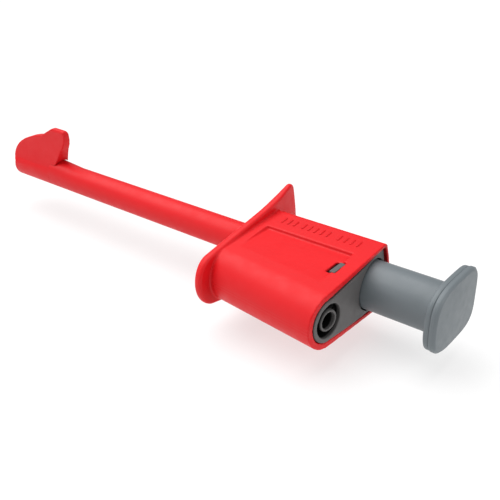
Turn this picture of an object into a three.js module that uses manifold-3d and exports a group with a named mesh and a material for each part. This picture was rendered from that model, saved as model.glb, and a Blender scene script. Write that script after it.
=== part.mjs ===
// Plunger-operated safety test clip with a 4 mm socket: a long insulated nose with a hook at its front end.
// X runs along the plunger, from the hook (low X) to the thumb pad (high X). The socket is on the -Y side.
// Millimetres, +Z up. In the drawing frame, X = 0 is the housing's rear edge and Y = Z = 0 is the plunger's axis.

import * as THREE from 'three';
import { mergeVertices } from 'three/addons/utils/BufferGeometryUtils.js';
import Module from 'manifold-3d';

// ---- driving dimensions ----

const ARC = 64;                // sides of a large circle
const SMALL_ARC = 32;          // sides of a small circle
const FIT = 0.1;               // clearance between neighbouring pieces
const LOOSE = 0.3;             // clearance around tilted pieces
const SMALLEST_DETAIL = 0.004; // faces narrower than this are merged into their neighbours

const PLUNGER_R = 5.95;
const PLUNGER_BORE_R = 4.4;
const PLUNGER_FRONT = -11.0;
const PLUNGER_WALL_X = 12.0;   // rear end of the spring chamber
const GUIDE_R = 6.3;           // bore in the rear insert that guides the plunger

const PAD_BACK = 17.5;
const PAD_SPLIT = 18.8;
const PAD_FRONT = 20.4;
const PAD_HALF_Y = 10.2;
const PAD_HALF_Z = 8.0;
const PAD_MID_Z = 0.6;          // the pad sits a little above the plunger's axis
const PAD_FAR_POWER = 0.5;     // the pad's outline is squarer on its far side
const PAD_NEAR_POWER = 0.66;
const PAD_BEVEL = 0.5;

const HOUSING_LENGTH = 33.0;
const WALL = 0.85;
const NEAR_WALL = 1.5;
const NEAR_R = 6.8;            // rounded side of the housing, around the socket
const FAR_Y = 5.8;             // upper and lower far corners
const FAR_BULGE = 1.7;         // how far the far side bows out around the plunger
const FAR_TOP = 8.6;
const FAR_LOW = 8.1;           // depth below the axis
const SOCKET_Y = -18.5;
const TOP_CORNER = 1.4;
const LOW_CORNER = 2.6;
const SIDE_TAPER = 0.0036;     // share of the width lost per millimetre towards the flange
const REAR_BEND_Y = -16.0;     // the rear edge is straight up to here and bows forward beyond
const REAR_BOW = 0.008;
const FACE_CREST_Y = -13.0;    // the insert's face reaches furthest back here
const FACE_CREST = 0.3;
const FACE_BOW = 0.005;

const FLANGE_THICK = 2.2;
const FLANGE_BACK = -31.0;

const SOCKET_TILT = 0.133;     // radians, outward towards the rear
const SOCKET_BORE_R = 4.05;
const SOCKET_DEPTH = 18.0;
const BARREL_R = 5.1;
const CONTACT_R = 2.6;
const CONTACT_BORE_R = 2.0;
const STUD_R = 1.2;

const NOSE_R = 4.1;
const NOSE_BORE_R = 2.2;
const NOSE_FRONT = -117.0;
const SADDLE_X = -106.0;       // the nose's top rises from here to its front end
const SADDLE_ANGLE = 4.4;      // degrees
const SADDLE_INSET = 0.04;     // keeps its sides inside the tube's
const HOOK_GAP = 0.12;
const COLLAR_R = 5.6;
const COLLAR_FRONT = -30.4;
const COLLAR_BACK = -28.7;
const BUSH_R = 3.2;
const BUSH_LENGTH = 4.0;

const ROD_R = 1.3;
const SLEEVE_R = 2.0;
const SLEEVE_FRONT = -118.2;
const SLEEVE_BACK = -31.0;
const STRIP_BACK = -27.8;
const STRIP_THICK = 0.8;
const SEAT_BACK = -27.0;
const SPRING_R = 3.4;
const WIRE_R = 0.4;
const SPRING_TURNS = 13;

const HEAD_BACK = -117.2;
const HEAD_FRONT = -136.2;
const HEAD_TOP = 15.5;

// ---- materials ----

const material = (color, roughness, metalness) =>
  new THREE.MeshStandardMaterial({ color, roughness, metalness });
const red = material('#e8262c', 0.38, 0);
const grey = material('#7d8891', 0.45, 0);
const darkGrey = material('#70757a', 0.5, 0);
const naturalPlastic = material('#d9d4c6', 0.5, 0);
const nickel = material('#b9b7b0', 0.3, 1);
const brass = material('#c4a254', 0.32, 1);
const springSteel = material('#9ca0a4', 0.28, 1);

// ---- solids ----

const wasm = await Module();
wasm.setup();

function solid(geometry) {
  const bare = geometry.clone();
  bare.deleteAttribute('normal');
  bare.deleteAttribute('uv');
  const merged = mergeVertices(bare, 1e-5);
  return new wasm.Manifold(new wasm.Mesh({
    numProp: 3,
    vertProperties: new Float32Array(merged.attributes.position.array),
    triVerts: new Uint32Array(merged.index.array),
  }));
}

const group = new THREE.Group();
const assembly = new THREE.Group();
group.add(assembly);

function addPiece(name, shape, look, parent = assembly) {
  const { vertProperties, triVerts } = shape.simplify(SMALLEST_DETAIL).getMesh();
  const geometry = new THREE.BufferGeometry();
  geometry.setAttribute('position', new THREE.BufferAttribute(vertProperties, 3));
  geometry.setIndex(new THREE.BufferAttribute(triVerts, 1));
  geometry.computeVertexNormals();
  const mesh = new THREE.Mesh(geometry, look);
  mesh.name = name;
  parent.add(mesh);
}

// A closed solid from an outline in the YZ plane, between two X values.
function alongX(outline, x0, x1) {
  const geometry = new THREE.ExtrudeGeometry(outline, {
    depth: x1 - x0, bevelEnabled: false, curveSegments: 24,
  });
  geometry.applyMatrix4(new THREE.Matrix4().set(0, 0, 1, x0, 1, 0, 0, 0, 0, 1, 0, 0, 0, 0, 0, 1));
  return geometry;
}

// A closed solid from an outline in the XZ plane, between two Y values.
function alongY(outline, y0, y1) {
  const geometry = new THREE.ExtrudeGeometry(outline, {
    depth: y1 - y0, bevelEnabled: false, curveSegments: 12,
  });
  geometry.rotateX(Math.PI / 2);
  geometry.translate(0, y1, 0);
  return geometry;
}

// A body of revolution about the X axis from [x, radius] pairs.
function turned(profile, sides = ARC) {
  const points = profile.map(([x, r]) => new THREE.Vector2(r, x));
  const geometry = new THREE.LatheGeometry([...points, points[0]], sides);
  geometry.rotateZ(-Math.PI / 2);
  return solid(geometry);
}

const rod = (x0, x1, r, sides = ARC) => turned([[x0, 0], [x0, r], [x1, r], [x1, 0]], sides);
const ring = (x0, x1, inner, outer, sides = ARC) =>
  turned([[x0, inner], [x0, outer], [x1, outer], [x1, inner]], sides);

function box(x0, x1, y0, y1, z0, z1) {
  const geometry = new THREE.BoxGeometry(x1 - x0, y1 - y0, z1 - z0);
  geometry.translate((x0 + x1) / 2, (y0 + y1) / 2, (z0 + z1) / 2);
  return solid(geometry);
}

function hexNut(x0, x1, acrossFlats, holeR) {
  return rod(x0, x1, acrossFlats / Math.sqrt(3), 6).subtract(rod(x0 - 1, x1 + 1, holeR, SMALL_ARC));
}

// The socket's own frame: its axis leaves the rear face at SOCKET_Y and leans outward.
const degrees = THREE.MathUtils.radToDeg;
const onSocketAxis = (shape) => shape.rotate([0, 0, -degrees(SOCKET_TILT)]).translate([0, SOCKET_Y, 0]);

// ---- housing outline ----

// A wedge with a round near side, a flat top, a flat far side and a softly rounded lower far corner.
function housingOutline(inset) {
  const nearR = NEAR_R - inset * (NEAR_WALL / WALL);
  const top = FAR_TOP - inset;
  const low = inset - FAR_LOW;
  const farY = FAR_Y - inset;
  const topCorner = Math.max(TOP_CORNER - inset, 0.3);
  const lowCorner = Math.max(LOW_CORNER - inset, 0.3);
  const slope = (height) => Math.asin((height - NEAR_R) / (FAR_Y - SOCKET_Y));
  const shape = new THREE.Shape();
  shape.moveTo(farY - lowCorner, low);
  shape.quadraticCurveTo(farY, low, farY + 0.3, low + lowCorner);
  shape.quadraticCurveTo(farY + 2 * FAR_BULGE - 0.4, 0, farY + 0.1, top - topCorner);
  shape.quadraticCurveTo(farY, top, farY - topCorner, top);
  shape.absarc(SOCKET_Y, 0, nearR, Math.PI / 2 + slope(FAR_TOP), 1.5 * Math.PI - slope(FAR_LOW), false);
  shape.closePath();
  return shape;
}

// Narrows a piece towards the flange, about its far side.
function taper(geometry) {
  const place = geometry.attributes.position;
  for (let i = 0; i < place.count; i += 1) {
    const share = 1 + SIDE_TAPER * place.getX(i);
    place.setY(i, FAR_Y + (place.getY(i) - FAR_Y) * share);
  }
  return geometry;
}

const housingBlock = (inset, x0, x1) => solid(taper(alongX(housingOutline(inset), x0, x1)));

const rimX = (y) => -REAR_BOW * Math.min(y - REAR_BEND_Y, 0) ** 2;
const faceX = (y) => FACE_CREST - FACE_BOW * (y - FACE_CREST_Y) ** 2 * (y > FACE_CREST_Y ? 0.6 : 1);

// Everything behind a rear surface whose X depends on Y.
function behind(edge) {
  const shape = new THREE.Shape();
  shape.moveTo(30, -30);
  shape.lineTo(30, 12);
  for (let y = 12; y >= -30; y -= 2) shape.lineTo(edge(y), y);
  shape.closePath();
  const geometry = new THREE.ExtrudeGeometry(shape, { depth: 40, bevelEnabled: false });
  geometry.translate(0, 0, -20);
  return solid(geometry);
}

// ---- housing ----

const PANEL = { x0: -28.6, x1: -4.2, y0: -16, y1: -2.6, slope: 0.92, floorZ: 7.25 };
const WINDOW = { x0: -5.8, x1: -3.4, y0: -11.5, y1: -6.6 };

// The finger guard's upper edge, as [y, z]. Its lower edge mirrors it.
const FLARE = [[-21.4, 6.4], [-16, 7.4], [-8, 8.8], [0, 10.25], [6, 11.8], [11.0, 13.3]];
const GUARD_NEAR_Y = -26.5;    // control points of the rounded near end
const GUARD_FAR_Y = 15.4;      // control point of the bowed far edge

function flangeOutline() {
  const shape = new THREE.Shape();
  const [nearY, nearZ] = FLARE[0];
  const [tipY, tipZ] = FLARE[FLARE.length - 1];
  const point = ([y, z]) => new THREE.Vector2(y, z);
  shape.moveTo(nearY, nearZ);
  shape.splineThru(FLARE.slice(1).map(point));
  shape.quadraticCurveTo(tipY + 1.4, tipZ, tipY + 1.9, tipZ - 1.5);
  shape.quadraticCurveTo(GUARD_FAR_Y, 0, tipY + 1.9, 1.5 - tipZ);
  shape.quadraticCurveTo(tipY + 1.4, -tipZ, tipY, -tipZ);
  shape.splineThru(FLARE.slice(0, -1).reverse().map(([y, z]) => point([y, -z])));
  shape.bezierCurveTo(GUARD_NEAR_Y, -4.6, GUARD_NEAR_Y, 4.6, nearY, nearZ);
  return shape;
}

// The flange's plate, thinner towards its far end.
function flange() {
  const thinning = box(0, 4, 0, 20, -20, 20).rotate([0, 0, 7]).translate([FLANGE_BACK, 6, 0]);
  return solid(alongX(flangeOutline(), FLANGE_BACK - FLANGE_THICK, FLANGE_BACK)).subtract(thinning);
}

function housing() {
  const shell = housingBlock(0, -HOUSING_LENGTH, 1.5)
    .add(flange())
    .subtract(housingBlock(WALL, -30.5, 2))
    .subtract(behind(rimX));
  const noseHole = rod(-HOUSING_LENGTH - 1, -30, NOSE_R + FIT);
  const { x0, x1, y0, y1 } = WINDOW;
  const windows = box(x0, x1, y0, y1, 5, 10).add(box(x0, x1, y0, y1, -10, -5));
  const panel = box(PANEL.x0, PANEL.x1, PANEL.y0, PANEL.y1, 0, 3)
    .rotate([PANEL.slope, 0, 0])
    .translate([0, 0, PANEL.floorZ]);
  return shell.subtract(noseHole).subtract(windows).subtract(panel);
}

// ---- grey rear insert with the plunger guide, the socket barrel and two snap latches ----

const LATCH = { front: -4.9, low: 5.4, high: 7.4 };
const INSERT = { front: -9, floor: -3, wall: 1.3, guideWall: 0.6 };

function rearInsert() {
  const barrel = onSocketAxis(rod(-SOCKET_DEPTH - 3, 0.5, BARREL_R));
  const latch = (sign) => {
    const low = Math.min(sign * LATCH.low, sign * LATCH.high);
    const height = LATCH.high - LATCH.low;
    return box(LATCH.front, WINDOW.x1 - FIT, WINDOW.y0 + FIT, WINDOW.y1 - FIT, low, low + height);
  };
  const skin = WALL + FIT;
  const plate = housingBlock(skin, INSERT.front, 1.5)
    .subtract(housingBlock(skin + INSERT.wall, INSERT.front - 1, INSERT.floor));
  const guide = rod(INSERT.front - 1, -1, GUIDE_R + INSERT.guideWall)
    .intersect(housingBlock(skin, INSERT.front - 2, 1));
  return plate.add(guide).add(barrel).add(latch(1)).add(latch(-1))
    .subtract(rod(-12, 2, GUIDE_R))
    .subtract(onSocketAxis(rod(-SOCKET_DEPTH, 5, SOCKET_BORE_R)))
    .subtract(onSocketAxis(rod(-30, 5, CONTACT_R + FIT / 2)))
    .subtract(behind(faceX));
}

// ---- plunger and thumb pad ----

// A broad oval, a superellipse that is squarer on its far side.
function padOutline(shrink) {
  const shape = new THREE.Shape();
  for (let i = 0; i < ARC; i += 1) {
    const angle = (2 * Math.PI * i) / ARC;
    const power = Math.cos(angle) > 0 ? PAD_FAR_POWER : PAD_NEAR_POWER;
    const y = (PAD_HALF_Y - shrink) * Math.sign(Math.cos(angle)) * Math.abs(Math.cos(angle)) ** power;
    const z = (PAD_HALF_Z - shrink) * Math.sign(Math.sin(angle)) * Math.abs(Math.sin(angle)) ** power;
    if (i === 0) shape.moveTo(y, z + PAD_MID_Z);
    else shape.lineTo(y, z + PAD_MID_Z);
  }
  shape.closePath();
  return shape;
}

const NUT_FLATS = 5.0;
const NUT_CORNER_R = NUT_FLATS / Math.sqrt(3);
const NUT_POCKET_X = 15.4;
const PEG = { y: 6.4, r: 1.0, length: 1.2, pocketX: 16.4 };

function plunger() {
  const pegHole = rod(PEG.pocketX, PAD_SPLIT + 1, PEG.r + FIT, SMALL_ARC);
  return rod(PLUNGER_FRONT, PAD_BACK + 0.2, PLUNGER_R)
    .add(solid(alongX(padOutline(0.15), PAD_BACK, PAD_SPLIT)))
    .subtract(rod(PLUNGER_FRONT - 1, PLUNGER_WALL_X, PLUNGER_BORE_R))
    .subtract(rod(0, PAD_SPLIT + 1, ROD_R + FIT, SMALL_ARC))
    .subtract(rod(NUT_POCKET_X, PAD_SPLIT + 1, NUT_CORNER_R + FIT, SMALL_ARC))
    .subtract(pegHole.translate([0, PEG.y, 0]))
    .subtract(pegHole.translate([0, -PEG.y, 0]));
}

function thumbCap() {
  const peg = rod(PAD_SPLIT - PEG.length, PAD_SPLIT + 0.4, PEG.r, SMALL_ARC);
  return solid(alongX(padOutline(0), PAD_SPLIT + FIT, PAD_FRONT - PAD_BEVEL))
    .add(solid(alongX(padOutline(PAD_BEVEL), PAD_SPLIT + FIT, PAD_FRONT)))
    .add(peg.translate([0, PEG.y, 0]))
    .add(peg.translate([0, -PEG.y, 0]));
}

// ---- rod, its sleeve and its fastenings ----

const ROD_FRONT = -123.5;
const ROD_BACK = 18.2;
const CLIP_X = 11.1;
const CLIP_THICK = 0.6;
const CLIP_OUTER_R = 2.6;
const GROOVE_DEPTH = 0.3;

function pushRod() {
  const groove = ring(CLIP_X - FIT, CLIP_X + CLIP_THICK + FIT, ROD_R - GROOVE_DEPTH, ROD_R + 1, SMALL_ARC);
  return rod(ROD_FRONT, ROD_BACK, ROD_R, SMALL_ARC)
    .subtract(groove)
    .subtract(pinShape(PIN_R + FIT / 2, 6));
}

const PIN_X = -121.0;
const PIN_R = 0.45;
const PIN_LENGTH = 4.6;

// The cross pin, or a hole for it: a rod along Y.
function pinShape(r, length) {
  const geometry = new THREE.CylinderGeometry(r, r, length, 16);
  geometry.rotateX(Math.PI / 2);
  geometry.translate(PIN_X, 0, 0);
  return solid(geometry);
}

function rodClip() {
  const mouth = ROD_R - GROOVE_DEPTH - FIT / 2;
  return ring(CLIP_X, CLIP_X + CLIP_THICK, ROD_R - GROOVE_DEPTH + FIT / 2, CLIP_OUTER_R, SMALL_ARC)
    .subtract(box(CLIP_X - 1, CLIP_X + 1, -mouth, mouth, 0, 4));
}

// ---- hook ----

// Its outline from the side, as [x, z]. Below the barb it reaches over the nose's end, which is cut from it.
function headSide() {
  const shape = new THREE.Shape();
  shape.moveTo(HEAD_BACK, -NOSE_R);
  shape.lineTo(-135.0, -NOSE_R);
  shape.lineTo(-135.2, -3.9);
  shape.lineTo(-135.2, 1.6);
  shape.quadraticCurveTo(HEAD_FRONT, 2.2, HEAD_FRONT, 3.6);
  shape.bezierCurveTo(HEAD_FRONT, 6.2, -133.4, 8.4, -129.9, 9.9);
  shape.quadraticCurveTo(-125.6, 11.6, -121.8, 12.1);
  shape.lineTo(-116.3, HEAD_TOP - 0.3);
  shape.quadraticCurveTo(-115.7, HEAD_TOP, -114.9, HEAD_TOP);
  shape.lineTo(-111.2, HEAD_TOP - 0.1);
  shape.quadraticCurveTo(-109.9, HEAD_TOP - 0.1, -109.8, 13.8);
  shape.quadraticCurveTo(-109.8, 11.4, -111.6, 9.2);
  shape.lineTo(-112.6, 7.5);
  shape.quadraticCurveTo(-113.6, 5.6, -114.6, 4.0);
  shape.lineTo(-115.2, 3.3);
  shape.lineTo(HEAD_BACK, 3.3);
  shape.closePath();
  return shape;
}

// The head's section: the round of the nose below, and a fin that thins towards its top.
function headSection() {
  const shape = new THREE.Shape();
  const footZ = 2.6;
  const footY = Math.sqrt(NOSE_R ** 2 - footZ ** 2);
  const angle = Math.atan2(footZ, footY);
  shape.moveTo(footY, footZ);
  shape.bezierCurveTo(2.3, 5.0, 1.5, 8.5, 1.0, HEAD_TOP - 0.6);
  shape.lineTo(0.5, HEAD_TOP + 0.2);
  shape.lineTo(-0.5, HEAD_TOP + 0.2);
  shape.lineTo(-1.0, HEAD_TOP - 0.6);
  shape.bezierCurveTo(-1.5, 8.5, -2.3, 5.0, -footY, footZ);
  shape.absarc(0, 0, NOSE_R, Math.PI - angle, 2 * Math.PI + angle, false);
  return shape;
}

const BLADE_HALF = 0.5;
const SHANK_R = 2.6;
const SHANK_FRONT = -125.5;

// The metal blade in the head, as [x, z]: it follows the head's outline about 1.5 mm inside it.
function bladeSide() {
  const shape = new THREE.Shape();
  shape.moveTo(-119, -1.4);
  shape.lineTo(-134.0, -1.4);
  shape.lineTo(-134.2, 3.6);
  shape.lineTo(-129.5, 7.2);
  shape.lineTo(-122.0, 9.5);
  shape.lineTo(-116.0, 12.6);
  shape.lineTo(-112.0, 12.6);
  shape.lineTo(-112.8, 10.4);
  shape.lineTo(-115.6, 7.0);
  shape.lineTo(-119.0, 4.6);
  shape.closePath();
  return shape;
}

function hookCore() {
  return solid(alongY(bladeSide(), -BLADE_HALF, BLADE_HALF))
    .add(rod(SHANK_FRONT, HEAD_BACK - FIT, SHANK_R, SMALL_ARC))
    .subtract(rod(ROD_FRONT - 0.1, HEAD_BACK + 1, ROD_R + FIT / 2, SMALL_ARC))
    .subtract(rod(SLEEVE_FRONT - FIT, HEAD_BACK + 1, SLEEVE_R + FIT, SMALL_ARC))
    .subtract(pinShape(PIN_R + FIT / 2, 6));
}

function hookCover() {
  const bladeSlot = solid(alongY(bladeSide(), -BLADE_HALF - FIT, BLADE_HALF + FIT));
  const slotGrown = [[0.1, 0.1], [-0.1, 0.1], [0.1, -0.1], [-0.1, -0.1]]
    .reduce((all, [x, z]) => all.add(bladeSlot.translate([x, 0, z])), bladeSlot);
  return solid(alongY(headSide(), -8, 8))
    .intersect(solid(alongX(headSection(), HEAD_FRONT - 1, -108)))
    .subtract(nosePath())
    .subtract(rod(SHANK_FRONT - FIT, HEAD_BACK + 1, SHANK_R + FIT, SMALL_ARC))
    .subtract(slotGrown);
}

// ---- nose tube and bushes ----

// The nose's outside, made thicker by the given amount. Its top rises to the front end, where the barb closes on it.
function noseSkin(grow) {
  const front = box(NOSE_FRONT, SADDLE_X, -9, 9, -9, 9);
  const saddle = rod(-13, 1, NOSE_R + grow - SADDLE_INSET)
    .rotate([0, SADDLE_ANGLE, 0])
    .translate([SADDLE_X, 0, 0]);
  return rod(NOSE_FRONT, COLLAR_BACK, NOSE_R + grow).add(saddle.intersect(front));
}

// The room the nose needs in the hook, whose barb slides forward over the nose's highest point.
function nosePath() {
  const rise = (SADDLE_X - NOSE_FRONT) * Math.tan(THREE.MathUtils.degToRad(SADDLE_ANGLE));
  const raised = rod(NOSE_FRONT, SADDLE_X, NOSE_R + HOOK_GAP - SADDLE_INSET).translate([0, 0, rise]);
  return noseSkin(HOOK_GAP).add(raised);
}

function noseTube() {
  const frontSeat = rod(NOSE_FRONT - 1, NOSE_FRONT + BUSH_LENGTH, BUSH_R + FIT / 2);
  const rearSeat = rod(COLLAR_BACK - BUSH_LENGTH, COLLAR_BACK + 1, BUSH_R + FIT / 2);
  return noseSkin(0)
    .add(rod(COLLAR_FRONT, COLLAR_BACK, COLLAR_R))
    .subtract(rod(NOSE_FRONT - 1, COLLAR_BACK + 1, NOSE_BORE_R))
    .subtract(frontSeat)
    .subtract(rearSeat);
}

// ---- electrical parts in the housing ----

const STUD_FRONT = -30.1;
const CONTACT_MOUTH = -2.4;
const CONTACT_END = -27.6;

function contactTube() {
  return onSocketAxis(rod(CONTACT_END, CONTACT_MOUTH, CONTACT_R)
    .add(rod(STUD_FRONT, CONTACT_END, STUD_R, SMALL_ARC))
    .subtract(rod(-23, 1, CONTACT_BORE_R, ARC)));
}

const socketTipRing = () => onSocketAxis(ring(CONTACT_MOUTH + FIT, 0.0, CONTACT_BORE_R, CONTACT_R));

const studY = SOCKET_Y - Math.tan(SOCKET_TILT) * (STRIP_BACK - STRIP_THICK / 2);

function busStrip() {
  const shape = new THREE.Shape();
  const halfWidth = 2.6;
  const eyeR = 4.6;
  const neckY = -5.2;
  shape.absarc(0, 0, eyeR, -Math.PI / 2 - 0.6, Math.PI / 2 + 0.6, false);
  shape.lineTo(neckY, halfWidth);
  shape.absarc(studY, 0, halfWidth, Math.PI / 2, 1.5 * Math.PI, false);
  shape.lineTo(neckY, -halfWidth);
  shape.closePath();
  return solid(alongX(shape, STRIP_BACK - STRIP_THICK, STRIP_BACK))
    .subtract(rod(-40, 0, SLEEVE_R + 0.4, SMALL_ARC))
    .subtract(onSocketAxis(rod(-40, -20, STUD_R + LOOSE, SMALL_ARC)));
}

const busNut = () => onSocketAxis(hexNut(-30.3, -29.3, 4.0, STUD_R + FIT / 2));

const WIPER = { front: -27.7, lipBack: -27.3, back: -25.1, r: 2.1, lipR: 2.8, halfSlit: 0.25 };

const wiperSleeve = () => ring(WIPER.front, WIPER.back, ROD_R + FIT / 2, WIPER.r, SMALL_ARC)
  .add(ring(WIPER.front, WIPER.lipBack, ROD_R + FIT / 2, WIPER.lipR, SMALL_ARC))
  .subtract(box(WIPER.front - 1, WIPER.back + 1, -WIPER.halfSlit, WIPER.halfSlit, 0, 4));

// ---- return spring ----

class Coil extends THREE.Curve {
  getPoint(t, target = new THREE.Vector3()) {
    const x0 = SEAT_BACK + WIRE_R + FIT;
    const x1 = PLUNGER_WALL_X - WIRE_R - FIT;
    const angle = t * SPRING_TURNS * 2 * Math.PI;
    return target.set(x0 + (x1 - x0) * t, SPRING_R * Math.cos(angle), SPRING_R * Math.sin(angle));
  }
}

function returnSpring() {
  const section = new THREE.Shape();
  for (let i = 0; i < 6; i += 1) {
    const angle = (i * Math.PI) / 3;
    const point = [WIRE_R * Math.cos(angle), WIRE_R * Math.sin(angle)];
    if (i === 0) section.moveTo(...point);
    else section.lineTo(...point);
  }
  section.closePath();
  return solid(new THREE.ExtrudeGeometry(section, {
    steps: SPRING_TURNS * 14, extrudePath: new Coil(), bevelEnabled: false,
  }));
}

// ---- assembly ----

addPiece('housing', housing(), red);
addPiece('rear_insert', rearInsert(), darkGrey);
addPiece('nose_tube', noseTube(), red);
addPiece('tip_bush', ring(NOSE_FRONT, NOSE_FRONT + BUSH_LENGTH - FIT, SLEEVE_R + 0.08, BUSH_R), nickel);
addPiece('rear_bush', ring(COLLAR_BACK - BUSH_LENGTH + FIT, COLLAR_BACK, SLEEVE_R + 0.08, BUSH_R), brass);
addPiece('contact_tube', contactTube(), nickel);
addPiece('socket_tip_ring', socketTipRing(), darkGrey);
addPiece('bus_strip', busStrip(), brass);
addPiece('bus_nut', busNut(), nickel);
addPiece('wiper_sleeve', wiperSleeve(), springSteel);
addPiece('spring_seat', ring(STRIP_BACK + 0.05, SEAT_BACK, 3.0, 4.1), nickel);
addPiece('return_spring', returnSpring(), springSteel);
addPiece('plunger', plunger(), grey);
addPiece('thumb_cap', thumbCap(), grey);
addPiece('push_rod', pushRod(), brass);
addPiece('rod_nut', hexNut(NUT_POCKET_X + FIT, 17.9, NUT_FLATS, ROD_R + 0.03), nickel);
addPiece('rod_clip', rodClip(), springSteel);
addPiece('rod_sleeve', ring(SLEEVE_FRONT, SLEEVE_BACK, ROD_R + FIT / 2, SLEEVE_R, SMALL_ARC), naturalPlastic);
addPiece('hook_core', hookCore(), nickel);
addPiece('core_pin', pinShape(PIN_R, PIN_LENGTH), springSteel);
addPiece('hook_cover', hookCover(), red);

// The shared frame's origin is the middle of the bounding box's base.
const extent = new THREE.Box3().setFromObject(assembly);
const centre = extent.getCenter(new THREE.Vector3());
assembly.position.set(-centre.x, -centre.y, -extent.min.z);

export default group;
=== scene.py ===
import math

import bmesh
import bpy
import numpy as np
from mathutils import Matrix, Vector


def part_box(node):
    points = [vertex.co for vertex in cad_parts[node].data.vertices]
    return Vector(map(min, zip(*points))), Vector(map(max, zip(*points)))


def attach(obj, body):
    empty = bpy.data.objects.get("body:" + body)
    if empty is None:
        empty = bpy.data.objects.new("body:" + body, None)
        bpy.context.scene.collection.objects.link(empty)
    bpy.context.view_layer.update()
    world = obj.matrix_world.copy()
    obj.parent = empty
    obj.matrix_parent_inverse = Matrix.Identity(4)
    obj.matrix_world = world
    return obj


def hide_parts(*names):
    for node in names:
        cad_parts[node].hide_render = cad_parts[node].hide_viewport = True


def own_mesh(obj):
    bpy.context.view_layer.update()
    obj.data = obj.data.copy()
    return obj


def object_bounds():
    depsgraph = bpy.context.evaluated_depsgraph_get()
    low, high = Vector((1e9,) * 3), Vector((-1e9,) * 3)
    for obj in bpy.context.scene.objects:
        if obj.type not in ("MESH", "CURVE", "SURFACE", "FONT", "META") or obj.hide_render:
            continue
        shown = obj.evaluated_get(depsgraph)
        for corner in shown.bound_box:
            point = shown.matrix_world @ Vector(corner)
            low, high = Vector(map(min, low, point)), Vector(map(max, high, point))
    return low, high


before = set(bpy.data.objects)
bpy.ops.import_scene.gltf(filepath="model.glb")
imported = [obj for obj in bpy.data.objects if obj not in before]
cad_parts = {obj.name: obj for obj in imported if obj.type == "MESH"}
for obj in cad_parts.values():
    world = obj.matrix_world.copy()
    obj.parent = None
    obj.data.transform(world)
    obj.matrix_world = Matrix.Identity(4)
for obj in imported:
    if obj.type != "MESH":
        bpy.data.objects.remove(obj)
cad_low, cad_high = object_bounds()

# ---- drawing frame ----
# Shapes are drawn in millimetres about the plunger's axis, with X = 0 at the housing's rear edge.
MM = 0.001
rod_low, rod_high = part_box("push_rod")
housing_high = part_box("housing")[1]
ORIGIN = np.array([housing_high.x, (rod_low.y + rod_high.y) / 2, (rod_low.z + rod_high.z) / 2])

HOUSE = "clip_body"
SLIDER = "plunger_and_hook"

# ---- driving dimensions, mm ----
WALL = 0.85
NEAR_WALL = 1.5
NEAR_R = 6.8
FAR_Y = 5.8
FAR_BULGE = 1.7
FAR_TOP = 8.6
FAR_LOW = 8.1
SOCKET_Y = -18.5
SIDE_TAPER = 0.0036
SOCKET_TILT = 0.133
PLUNGER_R = 5.95
GUIDE_R = 6.3
NOSE_R = 4.1
HEAD_BACK = -117.2
HEAD_FRONT = -136.2
HEAD_TOP = 15.5
PAD_MID_Z = 0.6
SADDLE_X = -106.0
SADDLE_ANGLE = math.radians(4.4)
SADDLE_INSET = 0.04
NOSE_FRONT = -117.0
COLLAR_FRONT = -30.4
COLLAR_BACK = -28.7
COLLAR_R = 5.6
NOSE_BORE_R = 2.2
BUSH_R = 3.25
BUSH_LENGTH = 4.0
FLANGE_FRONT = -33.2
HOUSING_FRONT = -33.0
HOUSING_FLOOR = -30.5
SHROUD_R = 4.05
BARREL_R = 5.1
CONTACT_R = 2.65
PANEL_Z = 7.25
PANEL_SLOPE = 0.016
WINDOW_X = (-5.8, -3.4)
WINDOW_Y = (-11.5, -6.6)
HOOK_GAP = 0.12
BLADE_HALF = 0.6
CAMERA_PLACE = (67.05, -123.78, 84.5)


# ---- outlines ----

def quad(p, q, r, count=16):
    """Points along a quadratic curve, without the first."""
    t = np.linspace(0, 1, count + 1)[1:, None]
    return (1 - t) ** 2 * np.array(p) + 2 * t * (1 - t) * np.array(q) + t ** 2 * np.array(r)


def cubic(p, q, r, s, count=24):
    """Points along a cubic curve, without the first."""
    t = np.linspace(0, 1, count + 1)[1:, None]
    p, q, r, s = (np.array(v) for v in (p, q, r, s))
    return (1 - t) ** 3 * p + 3 * t * (1 - t) ** 2 * q + 3 * t ** 2 * (1 - t) * r + t ** 3 * s


def arc(centre, radius, a0, a1, count=64):
    t = np.linspace(a0, a1, count + 1)
    return np.stack([centre[0] + radius * np.cos(t), centre[1] + radius * np.sin(t)], 1)


def resample(points, count):
    """The closed outline again, with evenly spaced points."""
    loop = np.vstack([points, points[:1]])
    steps = np.linalg.norm(np.diff(loop, axis=0), axis=1)
    along = np.concatenate([[0], np.cumsum(steps)])
    at = np.linspace(0, along[-1], count, endpoint=False)
    return np.stack([np.interp(at, along, loop[:, k]) for k in range(2)], 1)


def shrink(points, inset):
    """The closed outline, moved in by the inset along its normals. It runs anticlockwise."""
    ahead = np.roll(points, -1, 0) - np.roll(points, 1, 0)
    ahead /= np.linalg.norm(ahead, axis=1)[:, None]
    return points + inset * np.stack([-ahead[:, 1], ahead[:, 0]], 1)


def housing_outline(inset, count=220):
    near_r = NEAR_R - inset * (NEAR_WALL / WALL)
    high_z, low_z = FAR_TOP - inset, inset - FAR_LOW
    far_y = FAR_Y - inset
    top = max(1.4 - inset, 0.3)
    low = max(2.6 - inset, 0.3)
    top_slope, low_slope = (math.asin((h - NEAR_R) / (FAR_Y - SOCKET_Y)) for h in (FAR_TOP, FAR_LOW))
    start = (far_y - low, low_z)
    corner_low = (far_y + 0.3, low_z + low)
    corner_top = (far_y + 0.1, high_z - top)
    points = np.vstack([
        [start],
        quad(start, (far_y, low_z), corner_low),
        quad(corner_low, (far_y + 2 * FAR_BULGE - 0.4, 0), corner_top),
        quad(corner_top, (far_y, high_z), (far_y - top, high_z)),
        arc((SOCKET_Y, 0), near_r, math.pi / 2 + top_slope, 1.5 * math.pi - low_slope),
    ])
    return resample(points, count)


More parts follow.
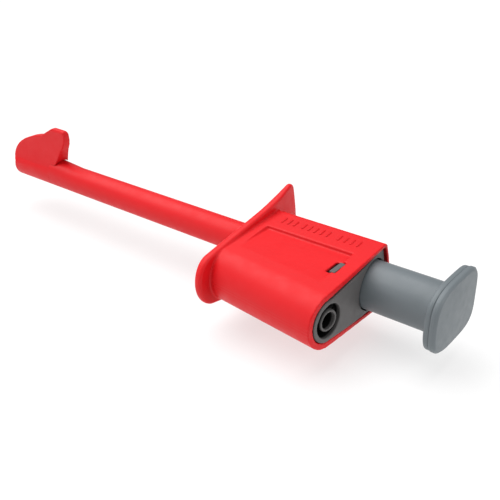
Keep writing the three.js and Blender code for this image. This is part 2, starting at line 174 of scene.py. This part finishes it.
def spline(points, count=12):
    """Points along a smooth curve through the given ones, without the first."""
    points = np.array(points, float)
    padded = np.vstack([2 * points[0] - points[1], points, 2 * points[-1] - points[-2]])
    out = []
    for k in range(1, len(points)):
        a, b, c, d = padded[k - 1:k + 3]
        for t in np.linspace(0, 1, count + 1)[1:]:
            out.append(0.5 * (2 * b + (c - a) * t + (2 * a - 5 * b + 4 * c - d) * t ** 2
                              + (3 * b - a - 3 * c + d) * t ** 3))
    return np.array(out)


def flange_outline(count=260):
    flare = [(-21.4, 6.4), (-16, 7.4), (-8, 8.8), (0, 10.25), (6, 11.8), (11.0, 13.3)]
    mirrored = [(y, -z) for y, z in reversed(flare)]
    upper = np.vstack([
        [flare[0]], spline(flare),
        quad((11.0, 13.3), (12.4, 13.3), (12.9, 11.8)),
        quad((12.9, 11.8), (15.4, 0), (12.9, -11.8), 40),
        quad((12.9, -11.8), (12.4, -13.3), (11.0, -13.3)),
        spline(mirrored),
        cubic((-21.4, -6.4), (-26.5, -4.6), (-26.5, 4.6), (-21.4, 6.4), 48)[:-1],
    ])
    return resample(upper[::-1], count)


def pad_outline(inset, count=128):
    """The thumb pad's oval, squarer on its far side."""
    angle = np.linspace(0, 2 * math.pi, count, endpoint=False)
    power = np.where(np.cos(angle) > 0, np.where(np.sin(angle) > 0, 0.44, 0.5), 0.66)
    y = (10.2 - inset) * np.sign(np.cos(angle)) * np.abs(np.cos(angle)) ** power
    z = (8.0 - inset) * np.sign(np.sin(angle)) * np.abs(np.sin(angle)) ** power
    return np.stack([y, z + PAD_MID_Z], 1)


# ---- meshes ----

def make(name, points, faces):
    """A mesh object from points in the drawing frame."""
    mesh = bpy.data.meshes.new(name)
    mesh.from_pydata((ORIGIN + np.asarray(points, float) * MM).tolist(), [], faces)
    form = bmesh.new()
    form.from_mesh(mesh)
    bmesh.ops.recalc_face_normals(form, faces=form.faces)
    form.to_mesh(mesh)
    form.free()
    piece = bpy.data.objects.new(name, mesh)
    bpy.context.scene.collection.objects.link(piece)
    return piece


def loft(name, sections, closed=False):
    """A skin over sections with equal numbers of points. Its ends are capped unless it is closed."""
    n = len(sections[0])
    points = np.vstack(sections)
    faces = []
    last = len(sections) if closed else len(sections) - 1
    for s in range(last):
        a, b = s * n, ((s + 1) % len(sections)) * n
        faces += [(a + i, a + (i + 1) % n, b + (i + 1) % n, b + i) for i in range(n)]
    if not closed:
        faces.append(tuple(range(n))[::-1])
        faces.append(tuple(range((len(sections) - 1) * n, len(sections) * n)))
    return make(name, points, faces)


def at_x(outline, x):
    """Outline points (y, z) at one X, or at an X for each point."""
    return np.column_stack([np.broadcast_to(x, len(outline)), outline])


def circle(r, x, count=96):
    return at_x(arc((0, 0), r, 0, 2 * math.pi, count)[:-1], x)


def turned(name, profile, count=96, tilted=False, closed=False):
    """A body of revolution about the plunger's axis, or about the socket's."""
    sections = [circle(max(r, 0.001), x, count) for x, r in profile]
    if tilted:
        sections = [on_socket_axis(s) for s in sections]
    return loft(name, sections, closed)


def on_socket_axis(points):
    c, s = math.cos(-SOCKET_TILT), math.sin(-SOCKET_TILT)
    turn = np.array([[c, -s, 0], [s, c, 0], [0, 0, 1]])
    return np.asarray(points) @ turn.T + np.array([0, SOCKET_Y, 0])


def block(name, x0, x1, y0, y1, z0, z1, tilt=0.0):
    """A cutter. The tilt turns it about the X axis."""
    ring = ((y0, z0), (y1, z0), (y1, z1), (y0, z1))
    corners = np.array([(x, y, z) for x in (x0, x1) for y, z in ring], float)
    c, s = math.cos(tilt), math.sin(tilt)
    corners[:, 1:] = corners[:, 1:] @ np.array([[c, s], [-s, c]])
    return loft(name, [corners[:4], corners[4:]])


def prism_y(name, outline, y0, y1):
    """An outline (x, z) extruded along Y."""
    outline = np.asarray(outline, float)
    x, z = outline.T
    return loft(name, [np.column_stack([x, np.full(len(outline), y), z]) for y in (y0, y1)])


def applied(piece):
    """Turns the piece's modifiers into its mesh."""
    bpy.context.view_layer.update()
    done = piece.evaluated_get(bpy.context.evaluated_depsgraph_get())
    mesh = bpy.data.meshes.new_from_object(done)
    old = piece.data
    piece.modifiers.clear()
    piece.data = mesh
    bpy.data.meshes.remove(old)
    return piece


def carve(piece, operation, tools):
    for tool in tools:
        step = piece.modifiers.new("carve", "BOOLEAN")
        step.operation = operation
        step.solver = "EXACT"
        step.object = tool
    applied(piece)
    for tool in tools:
        bpy.data.objects.remove(tool)
    return piece


def softened(piece, voxel, rounds):
    """Rounds every edge a little, as a moulding's are."""
    step = piece.modifiers.new("remesh", "REMESH")
    step.mode = "VOXEL"
    step.voxel_size = voxel * MM
    step.use_smooth_shade = True
    step = piece.modifiers.new("smooth", "SMOOTH")
    step.factor = 0.5
    step.iterations = rounds
    return applied(piece)


def smooth(piece, degrees=35):
    piece.data.polygons.foreach_set("use_smooth", [True] * len(piece.data.polygons))
    piece.data.set_sharp_from_angle(angle=math.radians(degrees))
    return piece


def displace(piece, height):
    """Moves each vertex along its normal by height(points, normals), in the drawing frame."""
    count = len(piece.data.vertices)
    co = np.zeros(count * 3)
    piece.data.vertices.foreach_get("co", co)
    normals = np.zeros(count * 3)
    piece.data.vertex_normals.foreach_get("vector", normals)
    co, normals = co.reshape(-1, 3), normals.reshape(-1, 3)
    move = height((co - ORIGIN) / MM, normals)
    piece.data.vertices.foreach_set("co", (co + normals * move[:, None] * MM).ravel())
    piece.data.update()
    return piece


# ---- materials ----

class Shader:
    """Builds a node material around a Principled shader."""

    def __init__(self, name):
        self.material = bpy.data.materials.new(name)
        self.material.use_nodes = True
        self.tree = self.material.node_tree
        self.shader = self.tree.nodes["Principled BSDF"]
        self.coords = self.node("ShaderNodeTexCoord").outputs["Object"]

    def node(self, kind, **values):
        made = self.tree.nodes.new(kind)
        for key, value in values.items():
            setattr(made, key, value)
        return made

    def link(self, a, b):
        self.tree.links.new(a, b)

    def noise(self, scale, detail=2.0, stretch=(1, 1, 1)):
        mapping = self.node("ShaderNodeMapping")
        mapping.inputs["Scale"].default_value = stretch
        self.link(self.coords, mapping.inputs["Vector"])
        made = self.node("ShaderNodeTexNoise")
        made.inputs["Scale"].default_value = scale
        made.inputs["Detail"].default_value = detail
        self.link(mapping.outputs["Vector"], made.inputs["Vector"])
        return made.outputs["Fac"]

    def ramp(self, source, stops):
        made = self.node("ShaderNodeValToRGB")
        elements = made.color_ramp.elements
        while len(elements) < len(stops):
            elements.new(0.5)
        for element, (place, colour) in zip(elements, stops):
            element.position = place
            element.color = (*colour, 1.0)
        self.link(source, made.inputs["Fac"])
        return made.outputs["Color"]

    def spread(self, source, low, high):
        made = self.node("ShaderNodeMapRange")
        made.inputs["From Min"].default_value = 0.3
        made.inputs["From Max"].default_value = 0.7
        made.inputs["To Min"].default_value = low
        made.inputs["To Max"].default_value = high
        self.link(source, made.inputs["Value"])
        return made.outputs["Result"]

    def faded(self, value, light, dark):
        """1 where the value reaches dark, 0 where it reaches light."""
        fade = self.node("ShaderNodeMapRange")
        fade.inputs["From Min"].default_value = light
        fade.inputs["From Max"].default_value = dark
        self.link(value, fade.inputs["Value"])
        return fade.outputs["Result"]

    def painted_shade(self, colour, centre, light_x, dark_x, light_r, dark_r):
        """Painted shade: the colour, mixed to near black in a well along X, beyond an X and within a
        radius of its axis, where the deep bore lies in shadow.
        """
        from_axis = self.node("ShaderNodeVectorMath", operation="SUBTRACT")
        from_axis.inputs[1].default_value = centre
        self.link(self.coords, from_axis.inputs[0])
        split = self.node("ShaderNodeSeparateXYZ")
        self.link(from_axis.outputs["Vector"], split.inputs["Vector"])
        across = self.node("ShaderNodeCombineXYZ")
        self.link(split.outputs["Y"], across.inputs["Y"])
        self.link(split.outputs["Z"], across.inputs["Z"])
        radius = self.node("ShaderNodeVectorMath", operation="LENGTH")
        self.link(across.outputs["Vector"], radius.inputs[0])
        both = self.node("ShaderNodeMath", operation="MULTIPLY")
        self.link(self.faded(split.outputs["X"], light_x, dark_x), both.inputs[0])
        self.link(self.faded(radius.outputs["Value"], light_r, dark_r), both.inputs[1])
        mix = self.node("ShaderNodeMix", data_type="RGBA")
        # Near black: the painted shade at the bottom of the well.
        mix.inputs["B"].default_value = (0.003, 0.003, 0.003, 1.0)
        self.link(both.outputs["Value"], mix.inputs["Factor"])
        self.link(colour, mix.inputs["A"])
        return mix.outputs["Result"]

    def bump(self, source, strength, distance_mm, below=None):
        made = self.node("ShaderNodeBump")
        made.inputs["Strength"].default_value = strength
        made.inputs["Distance"].default_value = distance_mm * MM
        self.link(source, made.inputs["Height"])
        if below is not None:
            self.link(below, made.inputs["Normal"])
        return made.outputs["Normal"]


def tint(colour, factor):
    return tuple(min(1.0, c * factor) for c in colour)


def plastic(name, colour, rough, texture=0.25, gloss=0.5, scatter=0.0, well=None):
    """Moulded plastic: faint flow marks, an eroded-mould texture and handling marks in its gloss.

    The well gives the values for painted shade in a bore: the colour is mixed to near black there,
    standing in for the shadow deep in the bore.
    """
    s = Shader(name)
    flow = s.noise(55, 3, (0.35, 1, 1))
    mixed = s.ramp(flow, [(0.3, tint(colour, 0.95)), (0.7, tint(colour, 1.05))])
    # Painted shade: the bore's well is darkened in the base colour.
    if well is not None:
        mixed = s.painted_shade(mixed, **well)
    s.link(mixed, s.shader.inputs["Base Color"])
    s.link(s.spread(s.noise(420, 4), rough[0], rough[1]), s.shader.inputs["Roughness"])
    fine = s.bump(s.noise(5200, 2), texture, 0.02)
    s.link(s.bump(s.noise(230, 2), 0.25, 0.02, fine), s.shader.inputs["Normal"])
    s.shader.inputs["Specular IOR Level"].default_value = gloss
    s.shader.inputs["Subsurface Weight"].default_value = scatter
    s.shader.inputs["Subsurface Scale"].default_value = 1.2 * MM
    s.shader.inputs["Subsurface Radius"].default_value = (1.0, 0.25, 0.2)
    return s.material


def metal(name, colour, rough, stretch, scale=900):
    """Turned, drawn or plated metal: fine marks along one direction, and a little tarnish."""
    s = Shader(name)
    tarnish = s.noise(160, 4)
    s.link(s.ramp(tarnish, [(0.35, tint(colour, 0.82)), (0.65, colour)]), s.shader.inputs["Base Color"])
    marks = s.noise(scale, 3, stretch)
    s.link(s.spread(marks, rough[0], rough[1]), s.shader.inputs["Roughness"])
    s.link(s.bump(marks, 0.3, 0.02), s.shader.inputs["Normal"])
    s.shader.inputs["Metallic"].default_value = 1.0
    return s.material


# Painted shade in the rear insert's socket bore: near black beyond 0.85 mm deep and within 4.25 mm of
# the socket's axis.
SOCKET_WELL_SHADE = {
    "centre": tuple(ORIGIN + np.array([0, SOCKET_Y, 0]) * MM),
    "light_x": -0.5 * MM, "dark_x": -0.85 * MM,
    "light_r": 4.4 * MM, "dark_r": 4.25 * MM,
}
RED = plastic("red_plastic_moulded", (0.67, 0.0065, 0.0105), (0.42, 0.54), 0.12, 0.24, 0.05)
GREY = plastic("grey_plastic_moulded", (0.146, 0.168, 0.181), (0.4, 0.52), 0.2, 0.4)
# The rear insert's plastic, with painted shade in its socket bore.
DARK_GREY = plastic("dark_grey_plastic_moulded", (0.105, 0.1, 0.099), (0.45, 0.58), 0.3, 0.35,
                    well=SOCKET_WELL_SHADE)
NATURAL = plastic("natural_plastic_tube", (0.8, 0.77, 0.69), (0.25, 0.35), 0.1, 0.5, 0.1)
NICKEL = metal("nickel_plate", (0.72, 0.70, 0.66), (0.16, 0.32), (1, 1, 1))
DULL_NICKEL = metal("nickel_plate_dull", (0.06, 0.054, 0.05), (0.4, 0.55), (1, 1, 1))
BRASS = metal("brass_drawn", (0.72, 0.52, 0.24), (0.2, 0.38), (0.08, 1, 1))
STEEL = metal("spring_steel_wire", (0.55, 0.56, 0.58), (0.22, 0.4), (0.3, 1, 1), 1400)


def finish_piece(piece, body, slot, material, *nodes):
    piece.data.materials.clear()
    piece.data.materials.append(material)
    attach(piece, body)
    if nodes:
        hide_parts(*nodes)
    return piece


# ---- housing ----

def rim_x(y):
    return -0.008 * np.minimum(np.asarray(y) + 16.0, 0) ** 2


def tapered(outline, x):
    """A housing section at X, or at an X for each point: it narrows towards the flange."""
    section = at_x(outline, x)
    section[:, 1] = FAR_Y + (section[:, 1] - FAR_Y) * (1 + SIDE_TAPER * section[:, 0])
    return section


def housing_shell():
    outer, inner = housing_outline(0), housing_outline(WALL)
    sections = [tapered(outer, x) for x in np.linspace(HOUSING_FRONT, -4, 8)]
    sections.append(tapered(outer, rim_x(outer[:, 0])))
    sections.append(tapered(inner, rim_x(inner[:, 0])))
    sections += [tapered(inner, x) for x in np.linspace(-4, HOUSING_FLOOR, 8)]
    return loft("housing_moulding", sections)


def flange_plate():
    outline = flange_outline()
    thickness = np.interp(outline[:, 0], [6, 13.5], [2.2, 1.3])
    rounding = [(0.0, 0.55), (0.12, 0.2), (0.32, 0.02), (0.68, 0.0), (0.88, 0.16), (1.0, 0.5)]
    return loft("flange", [at_x(shrink(outline, inset), FLANGE_FRONT + thickness * share)
                           for share, inset in rounding])


housing = carve(housing_shell(), "UNION", [flange_plate()])
carve(housing, "DIFFERENCE", [
    turned("nose_hole", [(HOUSING_FRONT - 1, NOSE_R + 0.1), (-29, NOSE_R + 0.1)]),
    block("window_top", *WINDOW_X, *WINDOW_Y, 5, 10),
    block("window_low", *WINDOW_X, *WINDOW_Y, -10, -5),
    block("panel", -28.6, -4.2, -16, -2.6, PANEL_Z, 10, PANEL_SLOPE),
])
softened(housing, 0.2, 5)


def groove(distance, half_width, depth):
    return -depth * np.clip(1 - np.abs(distance) / half_width, 0, 1)


def parting_line(points, normals):
    """The mould's double parting line, along the near side."""
    x, y, z = points.T
    near = (y < -18) & (normals[:, 1] < -0.5) & (x > -30.5) & (x < -0.6)
    return np.where(near, groove(z - 0.35, 0.22, 0.07) + groove(z + 0.35, 0.22, 0.07), 0)


displace(housing, parting_line)
finish_piece(smooth(housing, 50), HOUSE, "red_plastic", RED, "housing")


def pill(length, width, height, rings=5, sides=24):
    """A low rounded bar along Y, as (x, y, z) points and faces."""
    angle = np.linspace(0, 2 * math.pi, sides, endpoint=False)
    ends = np.where(np.sin(angle) >= 0, 1, -1) * (length - width) / 2
    points, faces = [], []
    for k in range(rings):
        turn = k / (rings - 1) * math.pi / 2
        r = width / 2 * (0.45 + 0.55 * math.cos(turn))
        z = height * math.sin(turn) - 0.2 * (k == 0)
        points += [(r * math.cos(a), ends[i] + r * math.sin(a), z) for i, a in enumerate(angle)]
    for k in range(rings - 1):
        faces += [(k * sides + i, k * sides + (i + 1) % sides, (k + 1) * sides + (i + 1) % sides,
                   (k + 1) * sides + i) for i in range(sides)]
    faces += [tuple(range(sides))[::-1], tuple(range((rings - 1) * sides, rings * sides))]
    return np.array(points), faces


def strip_marks():
    """Plain raised dashes along the strip beside the panel."""
    points, faces = [], []
    top_slope = math.tan(math.asin((FAR_TOP - NEAR_R) / (FAR_Y - SOCKET_Y)))
    mid_y = 1.4
    groups = [(-26.6, 3), (-20.6, 5), (-10.4, 4)]
    for start, count in groups:
        for k in range(count):
            shape, sides = pill(2.5, 0.66, 0.28)
            shape = shape.copy()
            shape[:, 2] += FAR_TOP - (FAR_Y - 0.7 - mid_y - shape[:, 1]) * top_slope - 0.04
            shape += (start + 1.75 * k, mid_y, 0)
            faces += [tuple(v + len(points) for v in f) for f in sides]
            points += shape.tolist()
    return make("strip_marks", points, faces)


finish_piece(smooth(strip_marks(), 60), HOUSE, "red_plastic", RED)

# ---- rear insert ----

def face_x(y):
    y = np.asarray(y, float)
    return 0.3 - 0.005 * (y + 13.0) ** 2 * np.where(y > -13.0, 0.6, 1)


def behind_face():
    y = np.linspace(14, -30, 120)
    line = np.column_stack([face_x(y), y])
    ring = np.vstack([line, [(30, -30), (30, 14)]])
    return loft("behind", [np.column_stack([ring, np.full(len(ring), z)]) for z in (-20, 20)])


def rear_insert():
    skin = housing_outline(WALL + 0.2)
    inside = housing_outline(WALL + 1.4)
    rear = [tapered(skin, x) for x in (-9, 1.5)]
    piece = loft("insert_moulding", rear)
    carve(piece, "DIFFERENCE", [loft("hollow", [tapered(inside, x) for x in (-9.5, -3)])])
    carve(piece, "UNION", [
        turned("barrel", [(-21, BARREL_R), (0.5, BARREL_R)], tilted=True),
        carve(turned("guide", [(-10, GUIDE_R + 0.6), (-1, GUIDE_R + 0.6)]), "INTERSECT",
              [loft("keep", [tapered(skin, x) for x in (-12, 1)])]),
        block("latch_top", -4.9, -3.5, -11.4, -6.7, 5.4, 7.4),
        block("latch_low", -4.9, -3.5, -11.4, -6.7, -7.4, -5.4),
    ])
    carve(piece, "DIFFERENCE", [
        turned("guide_bore", [(-12, GUIDE_R), (2, GUIDE_R)]),
        turned("shroud_bore", [(-18, SHROUD_R), (5, SHROUD_R)], tilted=True),
        turned("contact_bore", [(-30, CONTACT_R), (5, CONTACT_R)], tilted=True),
        behind_face(),
    ])
    return softened(piece, 0.16, 3)


finish_piece(smooth(rear_insert(), 50), HOUSE, "dark_grey_plastic", DARK_GREY, "rear_insert")

guard = turned("socket_guard", [(-2.3, 2.0), (-2.3, 2.6), (-0.35, 2.6), (-0.12, 2.52), (0.0, 2.36),
                                (0.0, 2.24), (-0.12, 2.06), (-0.4, 2.0)], 72, tilted=True, closed=True)
finish_piece(smooth(guard, 40), HOUSE, "dark_grey_plastic", DARK_GREY, "socket_tip_ring")

# ---- nose ----

def nose_skin(name, grow):
    """The nose's outside, with the rise at its front end that the barb closes on."""
    c, k = math.cos(SADDLE_ANGLE), math.sin(SADDLE_ANGLE)
    ends = []
    for along in (-13.0, 1.0):
        x, y, z = circle(NOSE_R + grow - SADDLE_INSET, along, 128).T
        ends.append(np.column_stack([SADDLE_X + x * c + z * k, y, z * c - x * k]))
    front = block("front", NOSE_FRONT, SADDLE_X, -9, 9, -9, 9)
    saddle = carve(loft("saddle", ends), "INTERSECT", [front])
    stations = (NOSE_FRONT, -105, -90, -75, -60, -45, COLLAR_BACK)
    return carve(loft(name, [circle(NOSE_R + grow, x, 128) for x in stations]), "UNION", [saddle])


def nose():
    collar = turned("collar", [(COLLAR_FRONT, COLLAR_R), (COLLAR_BACK, COLLAR_R)])
    piece = carve(nose_skin("nose_moulding", 0.0), "UNION", [collar])
    return carve(piece, "DIFFERENCE", [
        turned("bore", [(NOSE_FRONT - 1, NOSE_BORE_R), (-27, NOSE_BORE_R)]),
        turned("front_seat", [(NOSE_FRONT - 1, BUSH_R), (NOSE_FRONT + BUSH_LENGTH, BUSH_R)]),
        turned("rear_seat", [(COLLAR_BACK - BUSH_LENGTH, BUSH_R), (-27, BUSH_R)]),
    ])


finish_piece(smooth(nose(), 24), HOUSE, "red_plastic", RED, "nose_tube")

# ---- return spring ----

def coil():
    """The spring's wire. Its last turn at each end is closed up."""
    turns, steps, sides = 13, 32, 12
    r, wire = 3.4, 0.4
    x0, x1 = -26.5, 11.5
    t = np.linspace(0, 1, turns * steps + 1)
    angle = t * turns * 2 * math.pi
    pitch = np.interp(t * turns, [0, 1, turns - 1, turns], [0, 0.028, 0.972, 1])
    line = np.column_stack([x0 + (x1 - x0) * pitch, r * np.cos(angle), r * np.sin(angle)])
    ahead = np.gradient(line, axis=0)
    ahead /= np.linalg.norm(ahead, axis=1)[:, None]
    out = np.column_stack([np.zeros(len(t)), np.cos(angle), np.sin(angle)])
    side = np.cross(ahead, out)
    around = np.linspace(0, 2 * math.pi, sides, endpoint=False)
    sections = [line[k] + wire * (np.cos(around)[:, None] * out[k] + np.sin(around)[:, None] * side[k])
                for k in range(len(t))]
    return loft("spring_coil", sections)


spring = finish_piece(smooth(coil()), HOUSE, "spring_steel", STEEL, "return_spring")
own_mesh(spring)

# ---- plunger and thumb pad ----

def plunger():
    pad_angles = np.linspace(0, 2 * math.pi, 128, endpoint=False)

    def ring(r, x):
        return at_x(np.stack([r * np.cos(pad_angles), r * np.sin(pad_angles)], 1), x)

    def pad(inset, x):
        return at_x(pad_outline(inset), x)

    def between(share, x):
        return (1 - share) * ring(PLUNGER_R, x) + share * pad(0.5, x)

    hollow_end = [(4.4, 12.0), (4.4, -10.8), (4.6, -11.0), (5.7, -11.0), (PLUNGER_R, -10.7)]
    fillet = [(0.03, 16.95), (0.08, 17.2), (0.17, 17.4), (0.3, 17.5), (0.8, 17.52)]
    edge = [(0.4, 17.55), (0.22, 17.68), (0.15, 17.9), (0.15, 18.74), (0.2, 18.81), (0.32, 18.84)]
    sections = [ring(r, x) for r, x in hollow_end]
    sections += [ring(PLUNGER_R, x) for x in (-5, 2, 9, 14, 16.6)]
    sections += [between(share, x) for share, x in fillet]
    sections += [pad(inset, x) for inset, x in edge]
    return loft("plunger_moulding", sections)


finish_piece(smooth(plunger(), 40), SLIDER, "grey_plastic", GREY, "plunger")


def thumb_pad():
    rounding = [(0.32, 18.88), (0.1, 18.9), (0.03, 18.98), (0.0, 19.1), (0.0, 19.82), (0.05, 19.93),
                (0.42, 20.3), (0.52, 20.37), (0.7, 20.4)]
    return loft("thumb_pad", [at_x(pad_outline(inset), x) for inset, x in rounding])


finish_piece(smooth(thumb_pad(), 40), SLIDER, "grey_plastic", GREY, "thumb_cap")

# ---- hook ----

def head_side():
    h = HEAD_FRONT
    return np.vstack([
        [(HEAD_BACK + 1.0, -NOSE_R), (-135.1, -NOSE_R), (-135.3, -3.95), (-135.3, 1.6)],
        quad((-135.3, 1.6), (h, 2.2), (h, 3.6)),
        cubic((h, 3.6), (h, 6.2), (-133.4, 8.4), (-129.9, 9.9)),
        quad((-129.9, 9.9), (-125.6, 11.6), (-121.8, 12.1)),
        [(-116.3, HEAD_TOP - 0.3)],
        quad((-116.3, HEAD_TOP - 0.3), (-115.7, HEAD_TOP), (-114.9, HEAD_TOP)),
        [(-111.2, HEAD_TOP - 0.1)],
        quad((-111.2, HEAD_TOP - 0.1), (-109.9, HEAD_TOP - 0.1), (-109.8, 13.8)),
        quad((-109.8, 13.8), (-109.8, 11.4), (-111.6, 9.2)),
        [(-112.6, 7.5)],
        quad((-112.6, 7.5), (-113.6, 5.6), (-114.6, 4.0)),
        [(-115.2, 3.0), (HEAD_BACK + 1.0, 3.0)],
    ])


def head_section():
    foot_z = 2.6
    foot_y = math.sqrt(NOSE_R ** 2 - foot_z ** 2)
    angle = math.atan2(foot_z, foot_y)
    left = cubic((foot_y, foot_z), (2.3, 5.0), (1.5, 8.5), (1.0, HEAD_TOP - 0.6), 32)
    return np.vstack([
        [(foot_y, foot_z)], left, [(0.5, HEAD_TOP + 0.2), (-0.5, HEAD_TOP + 0.2)],
        left[::-1] * (-1, 1),
        arc((0, 0), NOSE_R, math.pi - angle, 2 * math.pi + angle, 72)[:-1],
    ])


BLADE = [(-119, -1.5), (-134.1, -1.5), (-134.3, 3.6), (-129.6, 7.3), (-122.1, 9.6), (-116.1, 12.7),
         (-111.9, 12.7), (-112.7, 10.3), (-115.5, 6.9), (-119.0, 4.6)]


def hook():
    piece = prism_y("hook_moulding", head_side(), -8, 8)
    section = head_section()
    carve(piece, "INTERSECT", [loft("section", [at_x(section, x) for x in (HEAD_FRONT - 1, -108.9)])])
    carve(piece, "DIFFERENCE", [
        turned("rod_hole", [(-125.6, 2.7), (HEAD_BACK + 2, 2.7)]),
        prism_y("blade_slot", BLADE, -BLADE_HALF, BLADE_HALF),
    ])
    softened(piece, 0.16, 6)
    rise = (0, 0, (SADDLE_X - NOSE_FRONT) * math.tan(SADDLE_ANGLE))
    raised = [circle(NOSE_R + HOOK_GAP - SADDLE_INSET, x, 128) + rise for x in (NOSE_FRONT, SADDLE_X)]
    return carve(piece, "DIFFERENCE", [
        nose_skin("nose_room", HOOK_GAP),
        loft("barb_path", raised),
        block("seam", HEAD_BACK + 0.1, -100, -9, 9, -9, 3.3),
    ])


finish_piece(smooth(hook(), 60), SLIDER, "red_plastic", RED, "hook_cover")

# ---- CAD nodes that stay ----

CARRIED = {
    "tip_bush": NICKEL, "rear_bush": BRASS, "contact_tube": DULL_NICKEL, "bus_strip": BRASS,
    "bus_nut": NICKEL, "wiper_sleeve": STEEL, "spring_seat": NICKEL, "push_rod": BRASS,
    "rod_nut": NICKEL, "rod_clip": STEEL, "rod_sleeve": NATURAL, "hook_core": NICKEL, "core_pin": STEEL,
}
for name, material in CARRIED.items():
    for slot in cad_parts[name].material_slots:
        slot.material = material

# ---- studio ----

def studio_floor():
    half, z = 3.0, -0.0005
    mesh = bpy.data.meshes.new("floor")
    corners = [(x * half, y * half, z) for x, y in ((-1, -1), (1, -1), (1, 1), (-1, 1))]
    mesh.from_pydata(corners, [], [(0, 1, 2, 3)])
    floor = bpy.data.objects.new("floor", mesh)
    bpy.context.scene.collection.objects.link(floor)
    s = Shader("floor_paper")
    paper = s.ramp(s.noise(30, 2), [(0.3, (0.29, 0.29, 0.29)), (0.7, (0.31, 0.31, 0.31))])
    s.link(paper, s.shader.inputs["Base Color"])
    s.shader.inputs["Roughness"].default_value = 0.9
    s.shader.inputs["Emission Color"].default_value = (1.0, 1.0, 1.0, 1.0)
    s.shader.inputs["Emission Strength"].default_value = 0.66
    s.shader.inputs["Specular IOR Level"].default_value = 0.1
    mesh.materials.append(s.material)


studio_floor()

world = bpy.data.worlds.new("studio")
world.use_nodes = True
world.node_tree.nodes["Background"].inputs["Color"].default_value = (1.0, 1.0, 1.0, 1.0)
world.node_tree.nodes["Background"].inputs["Strength"].default_value = 0.2
bpy.context.scene.world = world


def lamp(name, kind, place, target, power, **values):
    light = bpy.data.lights.new(name, kind)
    light.energy = power
    for key, value in values.items():
        setattr(light, key, value)
    holder = bpy.data.objects.new(name, light)
    bpy.context.scene.collection.objects.link(holder)
    holder.location = place
    holder.rotation_mode = "QUATERNION"
    holder.rotation_quaternion = (Vector(target) - Vector(place)).to_track_quat("-Z", "Y")


middle = (cad_low + cad_high) / 2
hook_place = (-0.067, 0.005, 0.02)
lamp("overhead", "SUN", (-0.4, -0.02, 1.0), (0, 0, 0), 3.6, angle=math.radians(70))
lamp("side", "AREA", (0.55, 0.1, 0.3), middle, 1.3, shape="RECTANGLE", size=0.4, size_y=0.4)
lamp("hook_fill", "AREA", (-0.2, -0.33, 0.16), hook_place, 0.4, shape="RECTANGLE", size=0.3, size_y=0.3)

# ---- camera ----

camera = bpy.data.cameras.new("camera")
camera.sensor_width = 36.0
camera.lens = 50.4
camera.clip_start, camera.clip_end = 0.01, 10.0
holder = bpy.data.objects.new("camera", camera)
bpy.context.scene.collection.objects.link(holder)
right = Vector((0.7746, 0.6319, -0.0258))
down = Vector((0.2827, -0.3824, -0.8797))
forward = Vector((-0.5658, 0.6741, -0.4749))
turn = Matrix((right, -down, -forward)).transposed()
holder.matrix_world = Matrix.Translation(ORIGIN + np.array(CAMERA_PLACE) * MM) @ turn.to_4x4()
bpy.context.scene.camera = holder
bpy.context.scene.view_settings.view_transform = "Standard"
